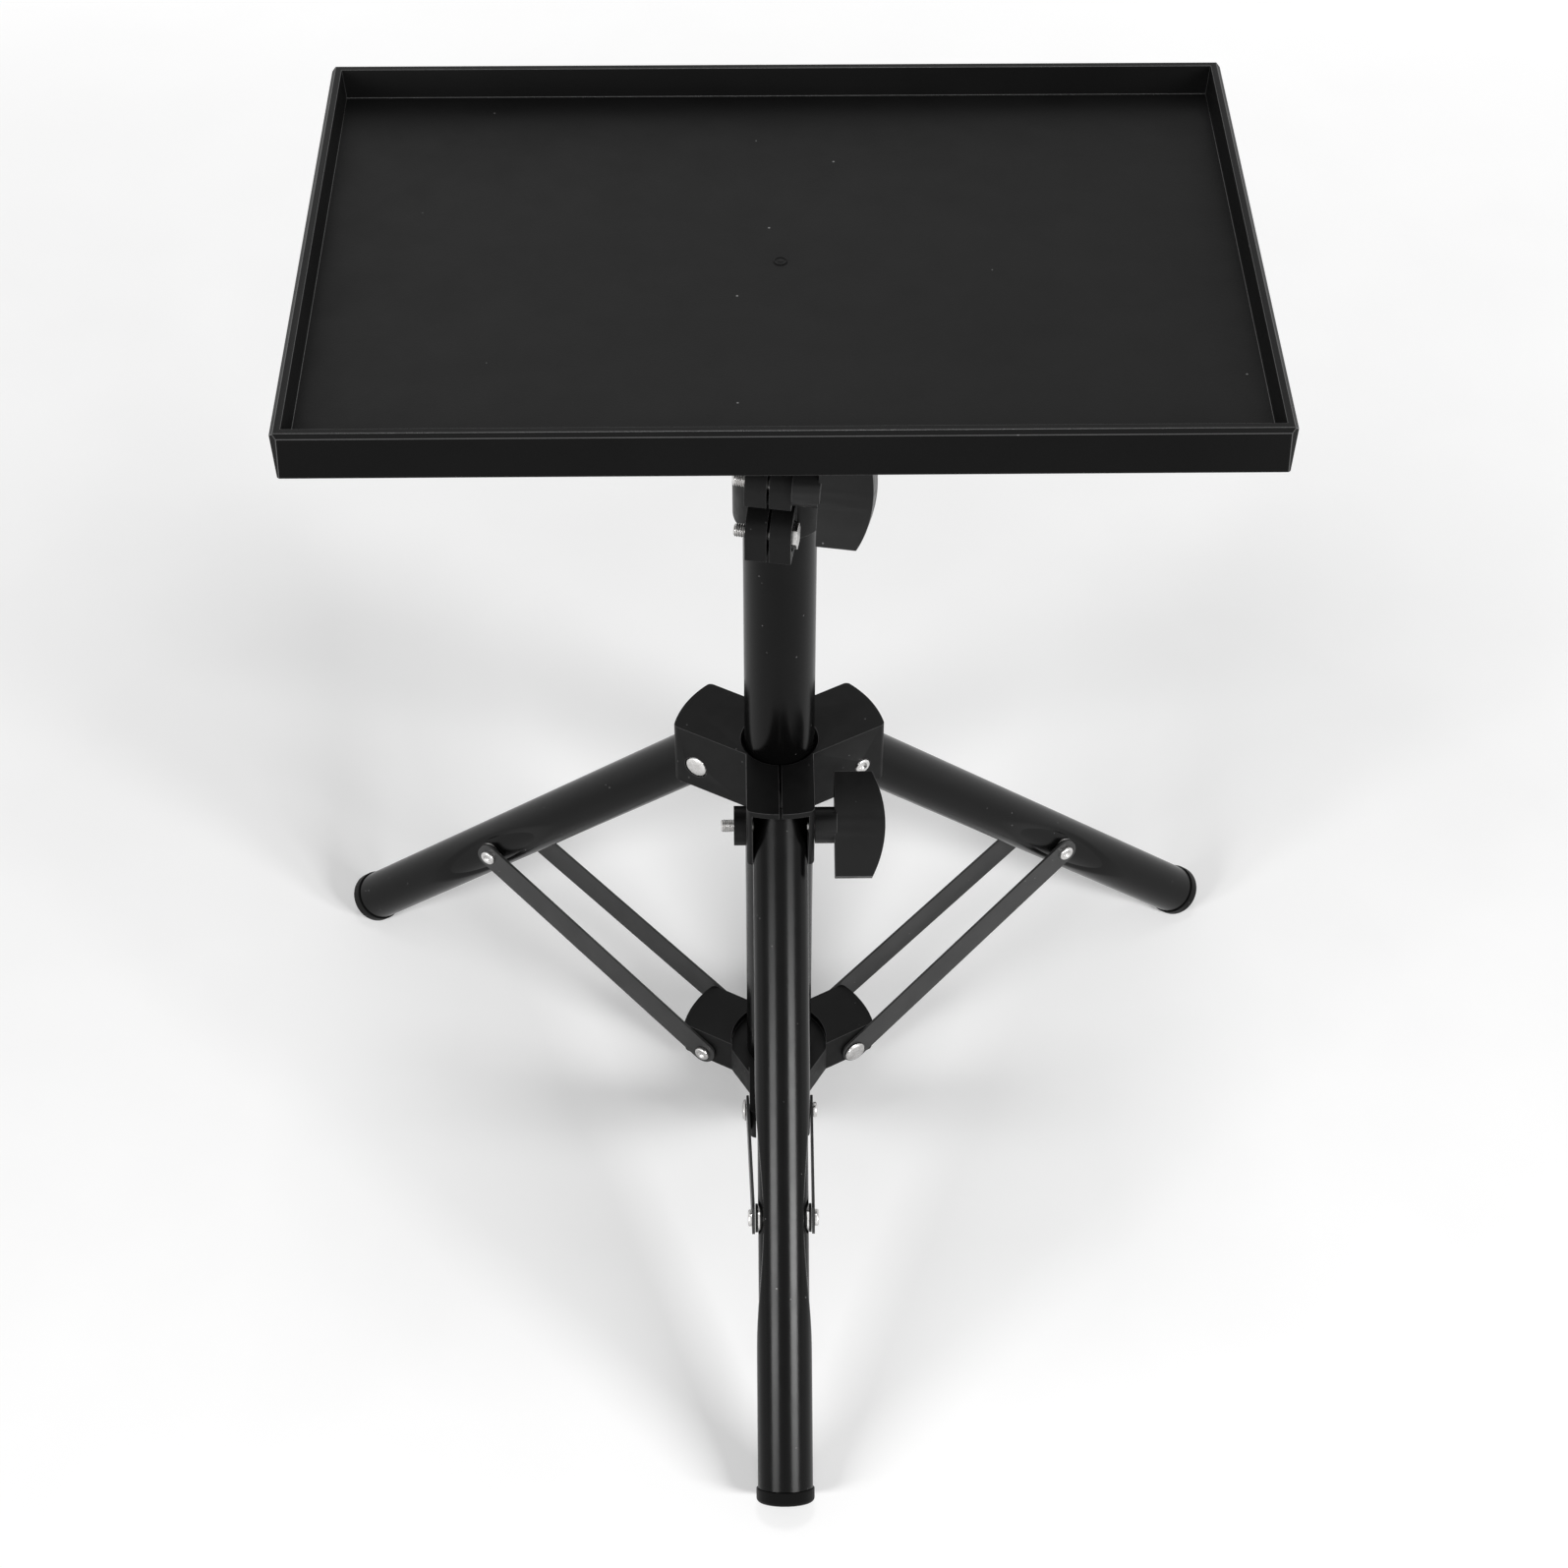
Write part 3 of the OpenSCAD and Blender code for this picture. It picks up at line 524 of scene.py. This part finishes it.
def foot_cap(side):
    """A leg's rubber foot, with a shallow round hollow in its underside."""
    node = "foot_" + side
    radius = FOOT_RADIUS
    low = LEG_LENGTH - FOOT_LENGTH
    seam = 0.35 * MM
    hollow = LEG_LENGTH - seam
    profile = (
        [(LEG_RADIUS - LEG_WALL, low), (radius - seam, low), (radius, low + seam)]
        + arc((radius - FOOT_ROUND, LEG_LENGTH - FOOT_ROUND), FOOT_ROUND, 0, 90, 8)
        + [(radius * 0.62, LEG_LENGTH), (radius * 0.58, hollow), (0, hollow)]
    )
    vertices, faces = lathe(profile, leg_place(side))
    return fit(smooth(piece_from("cap_" + node, vertices, faces)), node, FOOT, replaced=[node])


# Bolts

def thread_rod(radius, length, bare_from, place, steps=40):
    """A rod along local Z whose stretch past bare_from carries a thread."""
    rows_per_turn = 8
    rows = int((length - bare_from) / THREAD_PITCH * rows_per_turn)
    heights = [0.0] + [bare_from + (length - bare_from) * i / rows for i in range(rows + 1)]
    vertices = []
    for row, height in enumerate(heights):
        for i in range(steps):
            share = i / steps
            depth = 0.0
            if row > 1:
                phase = (height / THREAD_PITCH - share) % 1
                depth = THREAD_DEPTH * (1 - abs(2 * phase - 1))
                chamfer = 1 - (length - height) / (0.8 * THREAD_PITCH)
                depth = max(depth, THREAD_DEPTH * 1.6 * chamfer)
            turn = math.tau * share
            reach = radius - depth
            point = Vector((reach * math.cos(turn), reach * math.sin(turn), height))
            vertices.append(place @ point)
    faces = []
    for row in range(len(heights) - 1):
        for i in range(steps):
            j = (i + 1) % steps
            a, b = row * steps, (row + 1) * steps
            faces.append((a + i, a + j, b + j, b + i))
    last = (len(heights) - 1) * steps
    faces.append(tuple(range(last, last + steps)))
    faces.append(tuple(reversed(range(steps))))
    return vertices, faces


def dome_profile(base):
    """A low domed head with a rolled edge, whose underside is at height base."""
    rim = HEAD_EDGE
    edge = DOME_HEIGHT * 0.45
    points = [(0, base), (DOME_RADIUS - rim, base)]
    points += [(DOME_RADIUS, base + rim), (DOME_RADIUS, base + edge - rim)]
    steps = 8
    for i in range(steps + 1):
        turn = math.pi / 2 * i / steps
        radius = (DOME_RADIUS - rim) * math.cos(turn) if i < steps else 0
        points.append((radius, base + edge + (DOME_HEIGHT - edge) * math.sin(turn)))
    return points


def tail_profile(base):
    """The rolled end of a tubular rivet: a soft ring round a dimple."""
    roll = TAIL_HEIGHT / 2
    centre = (TAIL_RADIUS - roll, base + TAIL_HEIGHT - roll)
    dimple = TAIL_RADIUS * 0.42
    return (
        [(0, base), (TAIL_RADIUS - 0.1 * MM, base), (TAIL_RADIUS, base + 0.1 * MM)]
        + arc(centre, roll, 0, 90, 8)
        + [(dimple + 0.5 * MM, base + TAIL_HEIGHT - 0.05 * MM), (dimple, base + TAIL_HEIGHT * 0.6)]
        + [(dimple * 0.8, base + TAIL_HEIGHT * 0.45), (0, base + TAIL_HEIGHT * 0.45)]
    )


def cross_bolt(node, centre, across, dome_out, tail_out):
    """A bolt through centre with its dome on the side that across points to."""
    dome_side = along(centre, centre + across)
    tail_side = along(centre, centre - across)
    shank = [(0, -tail_out), (BOLT_RADIUS, -tail_out), (BOLT_RADIUS, dome_out), (0, dome_out)]
    parts = [
        lathe(shank, dome_side, 48),
        lathe(dome_profile(dome_out), dome_side),
        lathe(tail_profile(tail_out), tail_side),
    ]
    return fit(smooth(joined("turned_" + node, parts)), node, ZINC, replaced=[node])


def strut_ends(side):
    """The two ends of the bolt at a strut's upper end, which ride with the strut."""
    node = "strut_bolt_" + side
    across = arm_axes(side)[1]
    point = strut_point(side)
    parts = []
    for sign in (1, -1):
        place = along(point, point + sign * across)
        shank = [(0, BAR_LEG_Y), (BOLT_RADIUS, BAR_LEG_Y), (BOLT_RADIUS, BAR_LEG_Y + BAR_THICKNESS)]
        parts.append(lathe(shank, place, 48))
        parts.append(lathe(tail_profile(BAR_LEG_Y + BAR_THICKNESS), place))
    return fit(smooth(joined("turned_" + node, parts)), node, ZINC, replaced=[node])


def washer_stack(side):
    """A zinc washer between two black ones on each flat of the leg."""
    node = "leg_sleeve_" + side
    across = arm_axes(side)[1]
    point = strut_point(side)
    seat = PINCH_HALF + 0.07 * MM
    step = (WASHER_OUT - seat) / 3
    zinc = []
    black = []
    for sign in (1, -1):
        place = along(point, point + sign * across)
        for i in range(3):
            low = seat + i * step
            radius = WASHER_RADIUS - (0.35 * MM if i == 1 else 0)
            lip = 0.12 * MM
            ring = [(0, low), (radius - lip, low), (radius, low + lip), (radius, low + step - lip)]
            ring += [(radius - lip, low + step), (0, low + step)]
            (zinc if i == 1 else black).append(lathe(ring, place, 64))
        zinc.append(lathe([(BOLT_RADIUS, 0), (BOLT_RADIUS, seat)], place, 48))
    fit(smooth(joined("zinc_washers_" + side, zinc)), node, ZINC, replaced=[node])
    fit(smooth(joined("black_washers_" + side, black)), node, BUSH)


def knob_bolt(node, joint):
    """A long bolt along a joint's axis, threaded at the end that stands out past its nut."""
    axis = Vector(JOINTS[joint]["axis"])
    low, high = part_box(node)
    centre = (low + high) / 2
    half = rod_half(low, high, axis)
    place = along(centre + half * axis, centre - half * axis)
    rod = thread_rod(BOLT_RADIUS, 2 * half, 2 * half - THREAD_LENGTH, place)
    return fit(smooth(joined("turned_" + node, [rod]), 40), node, THREAD_ZINC, replaced=[node])


def rod_half(low, high, axis):
    """Half the length of a rod along a level axis, from the corners of its box."""
    spread = 2 * BOLT_RADIUS * abs(axis.y)
    return (high.x - low.x - spread) / abs(axis.x) / 2


# The tray's moulding marks

def gate_mark():
    """The small raised ring in the middle of the tray where the plastic was fed in. The ring is
    darker than the tray: painted shade for the groove round the gate.
    """
    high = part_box("tray")[1]
    middle = Matrix.Translation((POLE.x, POLE.y, high.z - TRAY_RECESS))
    ring = lathe(arc((2.5 * MM, 0), 0.4 * MM, 180, 0, 8), middle, 64)
    dish_profile = [(2.2 * MM, 0.12 * MM), (1.4 * MM, 0.05 * MM)]
    dish_profile += [(0.9 * MM, 0.3 * MM), (0, 0.35 * MM)]
    dish = lathe(dish_profile, middle, 48)
    fit(smooth(joined("gate_shade_ring", [ring])), "tray", GATE_GROOVE_SHADE)
    fit(smooth(joined("gate_dish", [dish])), "tray", TRAY)


def build():
    """Every piece that shows."""
    pole_tube("main_pole", POLE_WALL)
    pole_tube("inner_pole", MAST_WALL)
    for side in AZIMUTHS:
        leg_tube(side)
        foot_cap(side)
        strut_ends(side)
        washer_stack(side)
        across = arm_axes(side)[1]
        out = BAR_SPIDER_Y + BAR_THICKNESS + SIDE_GAP
        cross_bolt("spider_bolt_" + side, spider_pivot(side), -across, out, out)
        widen(dress("strut_" + side, STRUT_ENAMEL, 0.2 * MM, 2), side)
    for side in ("right", "left"):
        out = HUB_HALF - HEAD_SINK
        cross_bolt("pivot_bolt_" + side, hub_pivot(side), arm_axes(side)[1], out, out)
    for node in ("hub_knob", "height_knob", "tilt_knob"):
        dress(node, KNOB_NYLON, 0.9 * MM, 3, EDGE_HIGHLIGHT)
    dress("leg_hub", NYLON, 0.8 * MM, 4, EDGE_HIGHLIGHT)
    dress("lower_spider", NYLON, 0.8 * MM, 4, EDGE_HIGHLIGHT)
    dress("top_clamp", NYLON, 0.5 * MM, 3, EDGE_HIGHLIGHT)
    dress("tilt_base", NYLON, 0.6 * MM)
    dress("tray_bracket", NYLON, 0.5 * MM)
    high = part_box("tray")[1]
    reach = (high.x - POLE.x - RIM, high.y - POLE.y - RIM)
    side_finish(dress("tray", TRAY, 0.4 * MM, 3, EDGE_HIGHLIGHT), reach, TRAY_SIDE)
    for node in ("pole_end_plug", "pole_bush"):
        dress(node, BUSH, 0.4 * MM)
    for node in ("clamp_nut", "hub_nut", "height_nut", "tilt_nut", "tray_screws"):
        dress(node, ZINC, 0.25 * MM, 2)
    knob_bolt("hub_knob_bolt", "hub_knob_turn")
    knob_bolt("height_knob_bolt", "height_knob_turn")
    knob_bolt("clamp_bolt", "height_knob_turn")
    knob_bolt("tilt_bolt", "tilt_knob_turn")
    gate_mark()


# Camera, at the place that the photograph was taken from

def camera():
    data = bpy.data.cameras.new("camera")
    data.lens = LENS
    data.sensor_width = SENSOR
    data.clip_end = 20
    eye = link(bpy.data.objects.new("camera", data))
    eye.location = Vector((POLE.x, POLE.y, 0)) + CAMERA_OFFSET
    eye.rotation_euler = [math.radians(a) for a in CAMERA_TURN]
    bpy.context.scene.camera = eye


def area_light(name, place, target, size, power, roll=0):
    """A softbox that faces its target, rolled about its own axis."""
    data = bpy.data.lights.new(name, "AREA")
    data.shape = "RECTANGLE"
    data.size, data.size_y = size
    data.energy = power
    lamp = link(bpy.data.objects.new(name, data))
    lamp.location = place
    aim = (Vector(place) - Vector(target)).to_track_quat("Z", "Y").to_matrix()
    lamp.rotation_euler = (aim @ Matrix.Rotation(math.radians(roll), 3, "Z")).to_euler()
    return lamp


def studio():
    """A lamp from the top and one from each side, before a plain background.

    A side lamp is split in two. Its wash lights everything but shows in no reflection. Its shine
    is only reflected, by the tubes and the zinc, because the tray and the hub would glare in it.
    The wash stands a little behind the shine, which it would hide in the same place.
    """
    middle = (POLE.x, POLE.y, LAMP_AIM_HEIGHT)
    glossy = bpy.data.collections.new("glossy_pieces")
    for obj in bpy.context.scene.collection.objects:
        if obj.name.startswith(("drawn_", "turned_", "zinc_")):
            glossy.objects.link(obj)
    for name, side in (("left", -1), ("right", 1)):
        place = (side * SIDE_LAMP_PLACE[0], *SIDE_LAMP_PLACE[1:])
        behind = tuple(WASH_BEHIND * value for value in place)
        power = SIDE_LAMP_POWER[side]
        roll = SIDE_LAMP_ROLL * side
        wash = area_light(name + "_wash", behind, middle, SIDE_LAMP_SIZE, power, roll)
        wash.visible_glossy = False
        shine = area_light(name + "_shine", place, middle, SIDE_LAMP_SIZE, power, roll)
        shine.visible_diffuse = False
        shine.light_linking.receiver_collection = glossy
    area_light("top_softbox", TOP_LAMP_PLACE, middle, TOP_LAMP_SIZE, TOP_LAMP_POWER)
    world = bpy.data.worlds.new("studio")
    bpy.context.scene.world = world
    world.use_nodes = True
    background = world.node_tree.nodes["Background"]
    background.inputs["Color"].default_value = (1, 1, 1, 1)
    world.node_tree.links.new(
        seen_strength(world.node_tree, WORLD_LIGHT, WORLD_SEEN), background.inputs["Strength"]
    )


def seen_strength(tree, unseen, seen):
    """One strength for rays that show the background, and another for the light it gives."""
    paths = tree.nodes.new("ShaderNodeLightPath")
    value = paths.outputs["Is Camera Ray"]
    for kind in ("Is Glossy Ray", "Is Transmission Ray"):
        either = tree.nodes.new("ShaderNodeMath")
        either.operation = "MAXIMUM"
        tree.links.new(value, either.inputs[0])
        tree.links.new(paths.outputs[kind], either.inputs[1])
        value = either.outputs["Value"]
    span = tree.nodes.new("ShaderNodeMapRange")
    span.inputs["To Min"].default_value = unseen
    span.inputs["To Max"].default_value = seen
    tree.links.new(value, span.inputs["Value"])
    return span.outputs["Result"]


def floor():
    """Paper that fades to white with its distance, so that its edge can't be seen."""
    half = FLOOR_HALF
    corners = [(-half, -half, 0), (half, -half, 0), (half, half, 0), (-half, half, 0)]
    sheet = piece_from("studio_floor", [Vector(c) for c in corners], [(0, 1, 2, 3)])
    finish = Finish("paper_floor", Roughness=0.9, Specular_IOR_Level=0.1)
    finish.colour(finish.mix(finish.ramp(finish.noise(14), 0.3, 0.7), grey(0.86), grey(0.88)))
    finish.shader.inputs["Emission Color"].default_value = (1, 1, 1, 1)
    tree = finish.material.node_tree
    glow = finish.ramp(finish.distance(), *GLOW_REACH, *GLOW_LEVEL)
    finish.links.new(
        finish.times(glow, seen_strength(tree, 0, 1)), finish.shader.inputs["Emission Strength"]
    )
    sheet.data.materials.append(finish.material)


build()
camera()
studio()
floor()
bpy.context.scene.view_settings.view_transform = "Standard"
